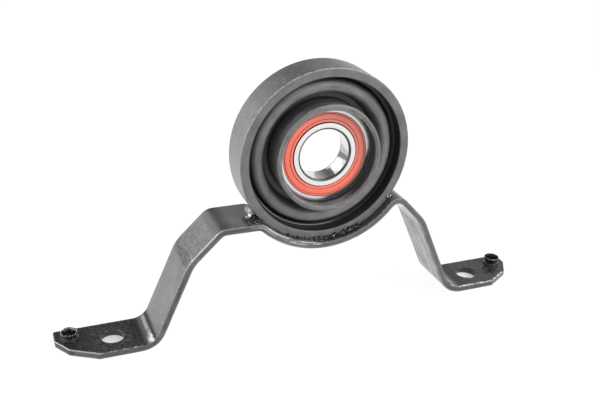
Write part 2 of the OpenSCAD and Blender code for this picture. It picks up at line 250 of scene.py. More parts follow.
class BentLine:
    """Straight runs joined by round bends, measured along the line's length."""

    def __init__(self, corners, radii):
        self.stretches = []
        self.bends = []
        self.length = 0.0
        place, skip = corners[0], 0.0
        for i in range(1, len(corners)):
            heading = (corners[i] - corners[i - 1]).normalized()
            run = (corners[i] - corners[i - 1]).length - skip
            if i == len(corners) - 1:
                self.add(run, place, heading, 0.0)
                break
            ahead = (corners[i + 1] - corners[i]).normalized()
            turn = math.atan2(heading.cross(ahead), heading.dot(ahead))
            radius = radii[i - 1] + (STRAP_T if turn > 0 else 0.0)
            skip = radius * math.tan(abs(turn) / 2)
            self.add(run - skip, place, heading, 0.0)
            bend = math.copysign(1 / radius, turn)
            self.add(radius * abs(turn), corners[i] - heading * skip, heading, bend)
            place = corners[i] + ahead * skip

    def add(self, length, place, heading, bend):
        self.stretches.append((self.length, length, place.copy(), heading.copy(), bend))
        if bend:
            self.bends.append((self.length, self.length + length))
        self.length += length

    def at(self, s):
        """Place on the line and the direction to its left."""
        for start, length, place, heading, bend in self.stretches:
            if s <= start + length or start + length >= self.length - 1e-9:
                break
        run = s - start
        if bend == 0.0:
            return place + heading * run, left_of(heading)
        centre = place + left_of(heading) / bend
        turned_by = Matrix.Rotation(run * bend, 2)
        return centre + turned_by @ (place - centre), left_of(turned_by @ heading)

    def bend_stations(self, step):
        """Distances at which the line is cut, a step in degrees apart, so that its bends come out round."""
        stations = []
        for start, length, _, _, bend in self.stretches:
            if bend:
                cuts = max(2, math.ceil(math.degrees(length * abs(bend)) / step))
                stations += [start + length * k / cuts for k in range(cuts + 1)]
        return stations


def shelf_end():
    """Corner on the underside of the strap between the left shelf and the wrap."""
    return (RING_R + STRAP_T) * ray(270 - WRAP_LEFT) + LEFT_RUN * ray(180 - WRAP_LEFT)


def strap_line():
    """The underside of the strap, from the left foot's end to the right foot's end."""
    wrap_r = RING_R + STRAP_T
    shelf_in = shelf_end()
    shelf_out = shelf_in - Vector((SHELF_LEN, 0))
    left_knee = shelf_out + LEFT_SLOPE_LEN * ray(180 + LEFT_SLOPE)
    left_drop = left_knee.y - UNDERSIDE
    left_heel = left_knee + left_drop / math.sin(math.radians(LEFT_LEG)) * ray(180 + LEFT_LEG)
    wrap_half = (WRAP_LEFT + WRAP_RIGHT) / 2
    wrap_corner = wrap_r / math.cos(math.radians(wrap_half)) * ray(270 + (WRAP_RIGHT - WRAP_LEFT) / 2)
    crest = wrap_r * ray(270 + WRAP_RIGHT) + RIGHT_RUN * ray(WRAP_RIGHT)
    right_knee = crest + RIGHT_SLOPE_LEN * ray(-RIGHT_SLOPE)
    right_drop = right_knee.y - UNDERSIDE
    right_heel = right_knee + right_drop / math.sin(math.radians(RIGHT_LEG)) * ray(-RIGHT_LEG)
    corners = [Vector((LEFT_END, UNDERSIDE)), left_heel, left_knee, shelf_out, shelf_in, wrap_corner,
               crest, right_knee, right_heel, Vector((RIGHT_END, UNDERSIDE))]
    radii = [LEFT_FOOT_BEND, KNEE_BEND, TIGHT_BEND, TIGHT_BEND, RING_R, TIGHT_BEND, KNEE_BEND,
             RIGHT_FOOT_BEND]
    return BentLine(corners, radii)


def hole_outline(x, y, r, count=64):
    """A round hole, drawn so that the plate is on its left."""
    return [Vector((x + r * math.cos(TAU * k / count), y - r * math.sin(TAU * k / count)))
            for k in range(count)]


def inset(outline, distance):
    """The outline moved to its left."""
    count = len(outline)
    return [offset_corner(outline[i - 1], outline[i], outline[(i + 1) % count], distance)
            for i in range(count)]


def plate(outlines, thickness, edge, border, steps=4):
    """Flat plate with rounded edges from closed outlines that have the plate on their left. The layer rim
    holds each point's distance from the nearest edge, as far as the border."""
    levels = [(border, 0.0)]
    levels += [(edge * (1 - math.sin(a)), edge * (1 - math.cos(a)))
               for a in (math.pi / 2 * k / steps for k in range(steps + 1))]
    levels += [(d, thickness - h) for d, h in reversed(levels)]
    bm = bmesh.new()
    rim = bm.verts.layers.float.new("rim")
    caps = {0: [], len(levels) - 1: []}
    for outline in outlines:
        rings = [[bm.verts.new((p.x, p.y, h)) for p in inset(outline, d)] for d, h in levels]
        for (d, _), ring in zip(levels, rings):
            for v in ring:
                v[rim] = d
        count = len(outline)
        for k in range(len(rings) - 1):
            for i in range(count):
                j = (i + 1) % count
                bm.faces.new((rings[k][i], rings[k][j], rings[k + 1][j], rings[k + 1][i]))
        for level, edges in caps.items():
            ring = rings[level]
            edges += [bm.edges.get((ring[i], ring[(i + 1) % count])) for i in range(count)]
    for edges in caps.values():
        bmesh.ops.triangle_fill(bm, use_beauty=True, edges=edges)
    return bm


def make_strap():
    """The strap, cut out flat with its holes and then bent, and the places of its bends along its length.
    The layer strap_place holds each point's place on the flat strap."""
    line = strap_line()
    far = line.length
    front, back = STRAP_FRONT, STRAP_BACK
    left_nose = [(0, front + NOSE_W), (NOSE_MID_X, front + NOSE_MID_Y)]
    right_nose = [(far - NOSE_MID_X, front + NOSE_MID_Y), (far, front + NOSE_W)]
    corners = [(NOSE_LEN, front), (far - NOSE_LEN, front), *right_nose, (far, back), (0, back), *left_nose]
    rim = rounded(corners, [NOSE_ROUND] * len(corners), 4)
    left_pilot, right_pilot = [PILOT_PLACES[side] for side in SIDES]
    holes = [(LEFT_BOLT, STRAP_MID, BOLT_R),
             (far - (RIGHT_END - BOLT_MID - BOLT_HALF), STRAP_MID, BOLT_R),
             (left_pilot.x - LEFT_END, left_pilot.y, PILOT_OUT),
             (far - (RIGHT_END - right_pilot.x), right_pilot.y, PILOT_OUT)]
    bm = plate([rim] + [hole_outline(*h) for h in holes], STRAP_T, STRAP_EDGE, STRAP_RIM)
    for s in line.bend_stations(BEND_STEP):
        bmesh.ops.bisect_plane(bm, geom=bm.verts[:] + bm.edges[:] + bm.faces[:], dist=1e-4,
                               plane_co=(s, 0, 0), plane_no=(1, 0, 0))
    layer = bm.verts.layers.float_vector.new("strap_place")
    for v in bm.verts:
        v[layer] = v.co
        place, up = line.at(v.co.x)
        at = place + up * v.co.z
        v.co = (at.x, v.co.y, at.y)
    return piece("strap", bm, "bracket", ["strap_bracket"], sharp=40), line.bends


# The ring, the rubber and the bearing

def dented_ring(r, depth, a):
    """Point of the ring's section, set in by the coating's pebbles and by nicks along the front rim."""
    at = Vector((r * math.cos(a), depth, r * math.sin(a)))
    outside = max(0.0, 1 - (RING_R - r) / RING_EDGE)
    rim = max(0.0, 1 - (RING_R - r + depth - RING_FRONT) / (1.2 * RING_EDGE))
    pebble = PEBBLE_DEPTH * (0.5 + 0.5 * noise.noise(at / PEBBLE_SIZE)) * outside
    nick = NICK_DEPTH * max(0.0, noise.noise(at / NICK_SIZE) - NICK_FROM) * rim
    return r - pebble - nick, depth + nick


def make_ring():
    corners = [(RING_IN, RING_FRONT), (RING_R, RING_FRONT), (RING_R, RING_BACK), (RING_IN, RING_BACK)]
    outline = filled(rounded(corners, [RING_EDGE] * 4, 4), RING_STEP)
    bm = turned(outline, RING_TURNS, dented_ring)
    return piece("steel_ring", bm, "bracket", ["outer_ring"])


def rubber_outline():
    """Section of the rubber: the lip and collar, the fold, the lining, and back behind the fold."""
    crest_in, crest_out = CREST_R - CREST_W / 2, CREST_R + CREST_W / 2
    face = [(COLLAR_R, ROOT_Y), (crest_in - FLANK_LEAN, ROOT_Y), (crest_in, CREST_Y),
            (crest_out, CREST_Y), (crest_out + FLANK_LEAN, ROOT_Y), (LINING_R, ROOT_Y)]
    face = [Vector(p) for p in face]
    behind = [offset_corner(face[i - 1], face[i], face[i + 1], FOLD_T) for i in range(1, 5)]
    root_back = ROOT_Y + FOLD_T
    corners = [(LIP_R, LIP_FRONT), (COLLAR_R, LIP_FRONT), *face, (LINING_R, LINING_FRONT),
               (RING_IN, LINING_FRONT), (RING_IN, LINING_BACK), (LINING_R, LINING_BACK),
               (LINING_R, root_back), *reversed(behind), (COLLAR_R, root_back), (COLLAR_R, COLLAR_BACK),
               (SLEEVE_R, COLLAR_BACK), (SLEEVE_R, -HALF_W), (LIP_R, -HALF_W)]
    inner, outer = CREST_ROUND - FOLD_T, ROOT_ROUND + FOLD_T
    radii = [LIP_ROUND, LIP_ROUND, ROOT_ROUND, ROOT_ROUND, CREST_ROUND - 0.3, CREST_ROUND - 0.3, 0, 0,
             0.3, 0, 0, 0.3, 0, 0, inner, inner, outer, 0, 0.4, 0, 0, 0]
    return rounded(corners, radii, 8)


def ragged_lip(r, depth, a):
    """Point of the rubber's section. The lip spreads below and above. At the lower right it opens and has
    torn flash."""
    near = max(0.0, 1 - math.hypot(r - LIP_R, depth - LIP_FRONT) / FLASH_REACH)
    torn = max(0.0, math.cos(a + math.radians(TORN_ANGLE)))
    front = max(0.0, 1 - (depth - LIP_FRONT) / LIP_REACH)
    outward = max(0.0, (r - LIP_R) / (COLLAR_R - LIP_R)) * front
    opening = LIP_OPENING * torn * max(0.0, front - outward)
    below = max(0.0, math.cos(a + math.radians(SPREAD_ANGLE)))
    over = max(0.0, math.sin(a))
    spread = LIP_SPREAD * outward * (below + 0.7 * over ** 2)
    ripple = noise.noise(Vector((9 * math.cos(a), 9 * math.sin(a), 0.5)))
    ripple += 0.6 * noise.noise(Vector((26 * math.cos(a), 26 * math.sin(a), 4.5)))
    return r - near * torn * (0.5 + 0.9 * ripple) + spread + opening, depth


def make_rubber():
    bm = turned(filled(rubber_outline(), RUBBER_STEP), RUBBER_TURNS, ragged_lip)
    return piece("rubber", bm, "bracket", ["rubber_ring"])


def groove(middle, side):
    """Arc of a raceway groove across the land of a race; side is 1 on the inner race."""
    land = INNER_LAND if side > 0 else OUTER_LAND
    reach = abs(middle - land)
    half = math.acos(reach / GROOVE_R)
    return [Vector((middle - side * GROOVE_R * math.cos(a), GROOVE_R * math.sin(a)))
            for a in (half * (k / 6 - 1) for k in range(13))]


def make_races():
    inner = [(BORE_R, -HALF_W), (INNER_LAND, -HALF_W)]
    inner += groove(PITCH_R + GROOVE_OFF, 1)
    inner += [(INNER_LAND, HALF_W), (BORE_R, HALF_W)]
    flat = [0] * (len(inner) - 4)
    radii = [BORE_ROUND, LAND_ROUND, *flat, LAND_ROUND, BORE_ROUND]
    inner_race = piece("inner_bearing_ring", turned(rounded(inner, radii, 5), RACE_TURNS),
                       "inner_ring", ["inner_race"])
    seat = [(SEAL_MOUTH, SEAL_FRONT), (SEAL_RIM, SEAL_FRONT), (SEAL_RIM, SEAL_BACK), (OUTER_LAND, SEAL_BACK)]
    outer = [(SEAL_MOUTH, -HALF_W), (BEARING_R, -HALF_W), (BEARING_R, HALF_W), (SEAL_MOUTH, HALF_W), *seat]
    outer += reversed(groove(PITCH_R - GROOVE_OFF, -1))
    outer += [(r, -depth) for r, depth in reversed(seat)]
    radii = [MOUTH_ROUND, RIM_ROUND, RIM_ROUND, MOUTH_ROUND] + [0] * (len(outer) - 4)
    outer_race = piece("outer_bearing_ring", turned(rounded(outer, radii, 5), RACE_TURNS),
                       "bracket", ["outer_race"])
    return inner_race, outer_race


def make_seal(name, node, out):
    """Seal with two pressed rings and a rim that sits in the outer race; out is -1 at the front."""
    edge, rim_front = SEAL_MOUTH - SEAL_GAP, SEAL_BACK + SEAL_RIM_T
    corners = [(SEAL_LIP, SEAL_FRONT - SEAL_LIP_SUNK)]
    for middle in SEAL_RINGS:
        corners += [(middle - SEAL_PRESSED, SEAL_FRONT), (middle, SEAL_FRONT - SEAL_PRESSED),
                    (middle + SEAL_PRESSED, SEAL_FRONT)]
    corners += [(edge, SEAL_FRONT), (edge, rim_front), (SEAL_RIM, rim_front), (SEAL_RIM, SEAL_BACK),
                (SEAL_LIP, SEAL_BACK)]
    radii = [0.2] + [0.12, 0.15, 0.12] * len(SEAL_RINGS) + [0.2, 0, 0, 0, 0]
    outline = [Vector((p.x, out * p.y)) for p in rounded(corners, radii, 4)]
    return piece(name, turned(outline, RACE_TURNS), "bracket", [node])


def make_sleeve():
    """The bearing's seat, with an edge turned in behind the outer race."""
    stop = HALF_W + SEAT_T
    corners = [(BEARING_R, -HALF_W), (SLEEVE_R, -HALF_W), (SLEEVE_R, COLLAR_BACK), (BEARING_R, COLLAR_BACK),
               (BEARING_R, stop), (SEAL_RIM, stop), (SEAL_RIM, HALF_W), (BEARING_R, HALF_W)]
    outline = rounded(corners, [0, 0, 0.3, 0.3, 0.3, 0.3, 0, 0], 3)
    return piece("bearing_seat", turned(outline, SEAT_TURNS), "bracket", ["bearing_sleeve"])


def worn_crown(r, depth, a):
    """Point of the left collar's section, whose crown is pressed down and jagged."""
    height = max(0.0, depth - CROWN_FOOT) / (PILOT_H - CROWN_FOOT)
    jag = noise.noise(Vector((2.4 * math.cos(a), 2.4 * math.sin(a), 7.3)))
    return r, depth - CROWN_DROP * height * (1 + CROWN_JAG * jag)


def make_locating_sleeve(side):
    """Flared hollow collar on a foot, with its shank through the foot."""
    t, r, out = PILOT_T, PILOT_R, PILOT_OUT
    flange, mouth = out + PILOT_FLANGE, out + PILOT_FLARE
    corners = [(r, -STRAP_T), (out, -STRAP_T), (out, 0), (flange, 0), (flange, 0.7 * t), (out, 1.6 * t),
               (out, PILOT_H - 3 * t), (mouth, PILOT_H - t), (mouth, PILOT_H), (r + PILOT_FLARE, PILOT_H),
               (r, PILOT_H - 3 * t)]
    radii = [0.1, 0.1, 0, 0.1, 0.3, 0.6, 0.6, 0.3, 0.35, 0.3, 0.8]
    place = PILOT_PLACES[side]
    base = Vector((place.x, place.y, UNDERSIDE + STRAP_T))
    crown = worn_crown if side == "left" else None
    bm = turned(rounded(corners, radii, 5), COLLAR_TURNS, crown, base)
    return piece("locating_collar_" + side, bm, "bracket",
                 ["locating_sleeve_" + side])


# Welds

def melted(name, drops, node):
    """One lump of weld metal from overlapping drops, each a centre and a radius."""
    bm = bmesh.new()
    for centre, radius in drops:
        bmesh.ops.create_icosphere(bm, subdivisions=2, radius=radius, matrix=Matrix.Translation(centre))
    mesh = bpy.data.meshes.new(name)
    bm.to_mesh(mesh)
    bm.free()
    rough = bpy.data.objects.new(name, mesh)
    bpy.context.scene.collection.objects.link(rough)
    remesh = rough.modifiers.new("melt", "REMESH")
    remesh.mode = "VOXEL"
    remesh.voxel_size = WELD_GRAIN
    calm = rough.modifiers.new("calm", "SMOOTH")
    calm.factor, calm.iterations = 0.5, 2
    whole = bmesh.new()
    whole.from_object(rough, bpy.context.evaluated_depsgraph_get())
    bpy.data.objects.remove(rough)
    bpy.data.meshes.remove(mesh)
    return piece(name, whole, "bracket", [node], sharp=180)


def ledge_drops(face, out, draw):
    """Drops along the corner between a face of the ring and the strap, larger to the right; out is -1 at
    the front."""
    drops = []
    angle = -WELD_SPAN / 2
    while angle < WELD_SPAN / 2:
        larger = 0.8 + 0.5 * angle / WELD_SPAN
        size = draw.choice((0.7, 1.0, 1.3, 1.7)) * draw.uniform(0.85, 1.15) * larger
        at = (RING_R - draw.uniform(0.2, 0.9) * size) * ray(270 + angle)
        drops.append((Vector((at.x, face + out * draw.uniform(0.0, 1.1) * size, at.y)), size))
        angle += draw.uniform(0.5, 1.5)
    return drops


def bead_drops(draw):
    """A thick bead across the shelf, in the corner with the ring, and spatter in front of it."""
    corner = shelf_end() + Vector((0, STRAP_T))
    drops = []
    y = RING_BACK - 4.0
    while y > BEAD_FRONT:
        shift = draw.uniform(-0.2, 0.2)
        drops.append((Vector((corner.x - 1.2 + shift, y, corner.y + 0.8 + shift)), draw.uniform(2.3, 2.7)))
        y -= draw.uniform(1.0, 1.5)
    for _ in range(SPATTER):
        x = corner.x + 1.5 - 6.0 * draw.random() ** 2
        y = draw.uniform(STRAP_FRONT + 1.4, BEAD_FRONT + 1.0)
        size = draw.uniform(0.4, 1.3)
        drops.append((Vector((x, y, corner.y - 0.1 * size)), size))
    return drops


def notch_drops(draw):
    """Drops across the strap in the right notch, where it leaves the ring."""
    drops = []
    angle = 270 + WRAP_RIGHT + NOTCH_PAST
    y = RING_FRONT + 0.8
    while y < RING_BACK - 1.0:
        r = NOTCH_DROP * draw.uniform(0.42, 0.72)
        at = (RING_R + draw.uniform(-0.2, 0.8)) * ray(angle + draw.uniform(-1.5, 1.5))
        drops.append((Vector((at.x, y, at.y)), r))
        y += draw.uniform(0.7, 1.4)
    return drops


def make_welds():
    draw = random.Random(WELD_SEED)
    return [melted("front_weld", ledge_drops(RING_FRONT, -1, draw), "weld_front"),
            melted("rear_weld", ledge_drops(RING_BACK, 1, draw), "weld_rear"),
            melted("left_notch_weld", bead_drops(draw), "weld_left"),
            melted("right_notch_weld", notch_drops(draw), "weld_right")]


strap, strap_bends = make_strap()
steel_ring = make_ring()
rubber = make_rubber()
inner_race, outer_race = make_races()
front_seal = make_seal("front_bearing_seal", "front_seal", -1)
rear_seal = make_seal("rear_bearing_seal", "rear_seal", 1)
bearing_seat = make_sleeve()
collars = [make_locating_sleeve(side) for side in SIDES]
welds = make_welds()


# Finishes

class Sock:
    """A socket in a node tree, with the operators that its maths uses."""

    def __init__(self, owner, socket):
        self.owner = owner
        self.socket = socket

    def math(self, operation, *others, swap=False):
        values = [*others, self] if swap else [self, *others]
        return self.owner.node("ShaderNodeMath", {"operation": operation}, dict(enumerate(values)))

    def __add__(self, other):
        return self.math("ADD", other)

    def __sub__(self, other):
        return self.math("SUBTRACT", other)

    def __mul__(self, other):
        return self.math("MULTIPLY", other)

    def __rsub__(self, other):
        return self.math("SUBTRACT", other, swap=True)

    __radd__ = __add__
    __rmul__ = __mul__

    def above(self, low, high):
        """0 below low, 1 above high and smooth between; the other way round if low is the larger."""
        return self.owner.node("ShaderNodeMapRange", {"interpolation_type": "SMOOTHSTEP"},
                               {"Value": self, "From Min": low, "From Max": high})

    def within(self, low, high, soft):
        """1 from low to high and 0 further off than soft."""
        return self.above(low - soft, low) * self.above(high + soft, high)


class Wiring:
    """A node tree, with one method that adds any node to it."""

    def __init__(self, tree):
        self.tree = tree

    def node(self, kind, settings, sockets, out=0):
        """A node of any kind, with its settings set before the values or links of its sockets."""
        made = self.tree.nodes.new(kind)
        for key, value in settings.items():
            setattr(made, key, value)
        for key, value in sockets.items():
            if isinstance(value, Sock):
                self.tree.links.new(value.socket, made.inputs[key])
            else:
                made.inputs[key].default_value = value
        return Sock(self, made.outputs[out])

    def split(self, vector):
        """The three parts of a vector."""
        return [self.node("ShaderNodeSeparateXYZ", {}, {0: vector}, k) for k in range(3)]

    def joined(self, x, y, z):
        return self.node("ShaderNodeCombineXYZ", {}, {0: x, 1: y, 2: z})

    def seen_directly(self):
        """1 for rays that show the background itself: from the camera, a mirror or glass."""
        camera_ray, glossy_ray, glass_ray = [
            self.node("ShaderNodeLightPath", {}, {}, k)
            for k in ("Is Camera Ray", "Is Glossy Ray", "Is Transmission Ray")]
        return camera_ray.math("MAXIMUM", glossy_ray).math("MAXIMUM", glass_ray)


class Finish(Wiring):
    """A procedural material. Places are in millimetres, in the part's own frame."""

    def __init__(self, name, **constants):
        self.material = bpy.data.materials.new(name)
        self.material.use_nodes = True
        super().__init__(self.material.node_tree)
        self.shader = self.tree.nodes["Principled BSDF"]
        for socket, value in constants.items():
            self.shader.inputs[socket.replace("_", " ")].default_value = value
        self.place = self.node("ShaderNodeVectorMath", {"operation": "SCALE"},
                               {0: self.node("ShaderNodeTexCoord", {}, {}, "Object"), "Scale": 1 / MM})

    def radius(self):
        """Distance from the shaft's axis."""
        x, _, z = self.split(self.place)
        return (x * x + z * z).math("SQRT")

    def grain(self, size, detail, rough=0.55, vector=None):
        """Noise from 0 to 1 with lumps of a size."""
        return self.node("ShaderNodeTexNoise", {}, {
            "Vector": vector or self.place, "Scale": 1 / size, "Detail": detail, "Roughness": rough})

    def streaks(self, width, length):
        """Noise drawn out round the shaft's axis, with streaks of a width and a length."""
        x, y, z = self.split(self.place)
        flow = self.joined(x * (1 / length), (self.radius() + 0.7 * y) * (1 / width), z * (1 / length))
        return self.grain(1.0, 3, vector=flow)

    def mix(self, share, first, second):
        """The first colour, with a share of it replaced by the second."""
        return self.node("ShaderNodeMix", {"data_type": "RGBA"}, {0: share, 6: first, 7: second}, 2)

    def bump(self, height, depth):
        """Normal of a surface whose height, from 0 to 1, is depth millimetres."""
        return self.node("ShaderNodeBump", {}, {"Height": height, "Distance": depth * MM, "Strength": 1.0})

    def done(self, **inputs):
        """Links what changes over the surface to the shader."""
        for socket, value in inputs.items():
            self.tree.links.new(value.socket, self.shader.inputs[socket.replace("_", " ")])
        return self.material

    def glowing(self, share, level):
        """The same material with a share of it replaced by an even glow."""
        glow = self.node("ShaderNodeEmission", {}, {"Color": grey(1.0), "Strength": level})
        plain = Sock(self, self.shader.outputs[0])
        mixed = self.node("ShaderNodeMixShader", {}, {0: share, 1: plain, 2: glow})
        self.tree.links.new(mixed.socket, self.tree.nodes["Material Output"].inputs["Surface"])
        return self.material


def grey(level, warm=0.0):
    """Colour of a grey, a little warmer if asked."""
    return (level * (1 + warm), level, level * (1 - warm), 1.0)


def strap_paint(bends):
    """Glossy coating: black and gritty on the feet, creased at the left knee, lumpy on the ledge by the
    ring, and worn along the front edge. Shade is painted at the shelf's bend, in the knee's creases and
    beside the left foot's bend; highlights are painted across the foot bends, on the creases and along the
    front edge; a sheen and a reflection of the floor are painted on the underside."""
    f = Finish("strap_paint", IOR=1.5)
    place = f.node("ShaderNodeAttribute", {"attribute_name": "strap_place"}, {}, "Vector")
    rim = f.node("ShaderNodeAttribute", {"attribute_name": "rim"}, {}, "Fac")
    along, across, height = f.split(place)
    left_foot, left_knee, shelf, notch, wrap, crest, right_knee, right_foot = bends
    upper = height.above(STRAP_T - 0.8, STRAP_T - 0.3)
    under = height.above(0.9, 0.4)
    side = rim.above(0.30, 0.05)
    feet = 1 - along.within(left_foot[1], right_foot[0], 7.0)
    on_right_foot = along.above(right_foot[0], right_foot[1])
    ledge = along.within(wrap[0] - 2, wrap[1] + 2, 3.0) * across.above(RING_FRONT + 0.4, RING_FRONT) * upper
    on_slope = along.within(left_knee[1] - 2, shelf[0], 3.0)
    on_shelf = along.within(shelf[1], notch[0], 3.0)
    cloud = f.grain(14, 4)
    peel = f.grain(1.3, 2)
    grit = f.grain(2.2, 6, 0.8)

    # The coating, with grit that shows most on the left slope
    tone = f.mix(cloud.above(0.3, 0.75), grey(0.092), grey(0.126))
    tone = f.mix(upper * grit.above(0.44, 0.60) * (0.35 + 0.35 * on_slope), tone, grey(0.18))
    tone = f.mix(upper * on_slope * grit.above(0.46, 0.36) * 0.6, tone, grey(0.05))

    # Black feet, with grit round the bolt holes
    tone = f.mix(feet * (upper + side * (0.4 + 0.5 * across.above(-7, -6))), tone, grey(0.018))
    bolts = along.within(LEFT_BOLT - 8, LEFT_BOLT + 8, 9.0)
    bolts = bolts + along.above(right_foot[1] + 2, right_foot[1] + 10)
    tone = f.mix(feet * upper * grit.above(0.44, 0.58) * (0.25 + 0.75 * bolts), tone, grey(0.065))

    # The shelf, light at the back and with painted shade at its bend, and the dark notch and ledge by the
    # ring
    painted_bend_shade = along.above(shelf[0] - 3.5, shelf[0] + 2.0) * along.above(shelf[1] + 7, shelf[1] - 1)
    tone = f.mix(0.6 * on_shelf * upper * across.above(-12, 2), tone, grey(0.22))
    tone = f.mix(0.7 * painted_bend_shade * upper, tone, grey(0.035))
    tone = f.mix(0.45 * side * along.within(shelf[0], notch[1], 4.0), tone, grey(0.03))
    in_notch = along.within(notch[0] - 5, wrap[0] + 3, 3.0) * across.above(-1, -6) * upper
    tone = f.mix(in_notch * grit.above(0.62, 0.50), tone, grey(0.012))
    tone = f.mix(ledge * (0.40 + 0.45 * along.above(wrap[0] + 10, wrap[0] + 20)), tone, grey(0.018))

    # The underside, with a painted sheen and a painted reflection of the floor lightest below the crest,
    # and a dark line along the cut sides
    painted_sheen = f.grain(1.0, 3, 0.5, f.joined(along * 0.07, across * 0.22, 0.0)).above(0.38, 0.62)
    tone = f.mix(under * painted_sheen * 0.6, tone, grey(0.34))
    tone = f.mix(under * along.within(crest[0], crest[1] + 7, 16.0) * 0.8, tone, grey(0.55))
    shear = f.grain(1.0, 4, 0.6, f.joined(along * 0.12, across * 0.5, height * 1.1))
    tone = f.mix(side * height.within(1.7, 2.3, 0.6) * shear.above(0.35, 0.55) * 0.6, tone, grey(0.03))

    # Creases across the left knee, with painted shade in their dark lines and painted highlights on their
    # light ones
    folds = f.grain(1.0, 4, 0.6, f.joined(along * 0.95, across * 0.11, height * 0.2))
    knee = (left_knee[0] + left_knee[1]) / 2
    creased = along.within(knee - 2.0, knee + 1.0, 4.0) * upper * (0.35 + 0.65 * across.above(8, -8))
    tone = f.mix(creased * folds.above(0.50, 0.62), tone, grey(0.022))
    tone = f.mix(creased * folds.above(0.42, 0.34) * 0.5, tone, grey(0.26))

    # Painted highlights as strips across the bends at the feet, with painted shade as a dark line beside the
    # left one
    heel = left_foot[0] + 0.50 * (left_foot[1] - left_foot[0])
    toe = right_foot[0] + 0.62 * (right_foot[1] - right_foot[0])
    patchy = 0.25 + 0.75 * f.grain(2.6, 4, 0.65).above(0.40, 0.58)
    painted_highlight = along.within(heel - 0.6, heel + 0.8, 1.6) * (0.40 + 0.60 * across.above(-2, -10))
    painted_highlight = painted_highlight + 0.50 * along.within(heel - 2.2, heel + 1.4, 1.6) * across.within(-13, -9, 2.5)
    painted_highlight = painted_highlight + 0.45 * along.within(toe - 0.8, toe + 0.8, 2.4) * across.above(10, -10)
    tone = f.mix(painted_highlight * patchy * upper, tone, grey(0.62))
    tone = f.mix(along.within(heel + 3.2, heel + 3.8, 1.0) * upper * 0.8, tone, grey(0.02))

    # Wear and painted highlights along the front edge, and runs of light coating on the front of the wrap
    edge_wear_and_highlight = 0.10 + 0.25 * along.above(left_foot[0], left_foot[0] - 4) + 0.75 * on_right_foot
    on_wrap = along.within(wrap[0], wrap[0] + 40, 5.0)
    edge_wear_and_highlight = edge_wear_and_highlight + 0.55 * on_slope + 0.10 * on_shelf + 0.28 * on_wrap
    nose = along.above(NOSE_LEN + 4, NOSE_LEN) * across.above(7, 5)
    edge_wear_and_highlight = edge_wear_and_highlight + 0.08 * nose
    chips = f.grain(1.8, 5, 0.75)
    chips = (1 - on_right_foot) * chips.above(0.36, 0.64) + on_right_foot * (chips.above(0.45, 0.53) - 0.45)
    ragged = rim + chips * (1 - 0.6 * (nose + on_slope + on_shelf)) - 0.12 * on_slope
    edge = ragged.above(0.62, 0.42) * upper * across.above(-5.5, -6.5).math("MAXIMUM", nose) * edge_wear_and_highlight
    tone = f.mix(edge, tone, grey(0.66))
    runs = f.grain(1.0, 3, 0.6, f.joined(along * 0.09, across * 1.2, height * 1.2)).above(0.50, 0.58)
    runs = runs * along.within(wrap[0] - 4, wrap[0] + 36, 6.0) * across.above(RING_FRONT + 0.4, RING_FRONT)
    tone = f.mix(runs * height.above(1.6, 2.6) * 0.85, tone, grey(0.48))

    smooth = along.within(crest[0], right_knee[1], 4.0) * upper
    rough = upper * (1 - smooth)
    gritty = (0.35 + 0.35 * feet + 0.6 * on_slope) * grit
    relief = 0.16 * rough * peel + 0.60 * creased * folds + rough * gritty
    relief = relief + 1.6 * ledge * f.grain(1.7, 3, 0.6)
    gloss = 0.12 + 0.09 * cloud - 0.04 * feet * upper + 0.20 * edge - 0.08 * under - 0.07 * smooth
    return f.done(Base_Color=tone, Roughness=gloss, Normal=f.bump(relief, 0.16))


def ring_paint():
    """Rough coating, pebbled on the outer band and worn thin along the upper left rim, where a highlight is
    painted. Light and shade are painted on the band: lighter at the left, darker at the upper left, and a
    reflection at the top right.
    """
    f = Finish("ring_paint", IOR=1.5)
    x, y, z = f.split(f.place)
    radius = f.radius()
    band = radius.above(RING_R - 0.5, RING_R - 0.1)
    upper_left = (z - x).above(-30, 45)
    pebbles = f.grain(1.9, 4, 0.68)
    cloud = f.grain(8, 3)
    fine = f.grain(0.6, 2)
    tone = f.mix(cloud.above(0.3, 0.7), grey(0.088), grey(0.124))
    # Painted light on the band's left side, painted shade on its upper left and a painted reflection at its
    # top right
    tone = f.mix(0.7 * band * x.above(-34, -50), tone, grey(0.20))
    tone = f.mix(0.45 * band * x.within(-32, -16, 10.0) * z.above(8, 24), tone, grey(0.04))
    tone = f.mix(0.5 * band * x.above(4, 20) * z.above(20, 40), tone, grey(0.24))
    tone = f.mix(band * pebbles.above(0.52, 0.72) * 0.5, tone, grey(0.26))
    tone = f.mix(band * pebbles.above(0.45, 0.33) * 0.6, tone, grey(0.05))
    # Worn thin along the upper left rim, with a painted highlight along it
    rim = (RING_R - radius + y - RING_FRONT).above(0.80, 0.40) * upper_left
    worn = rim * z.above(0, 28) * (0.30 + 0.70 * f.grain(1.6, 5, 0.7).above(0.42, 0.60))
    tone = f.mix(0.8 * worn, tone, grey(0.40))
    inside = radius.above(RING_IN + 0.5, RING_IN + 0.2)
    tone = f.mix(inside, tone, grey(0.015))
    relief = pebbles * (0.14 + 0.86 * band * (0.45 + 0.55 * upper_left)) + 0.10 * fine
    return f.done(Base_Color=tone, Roughness=0.26 + 0.22 * pebbles, Normal=f.bump(relief, 0.24))


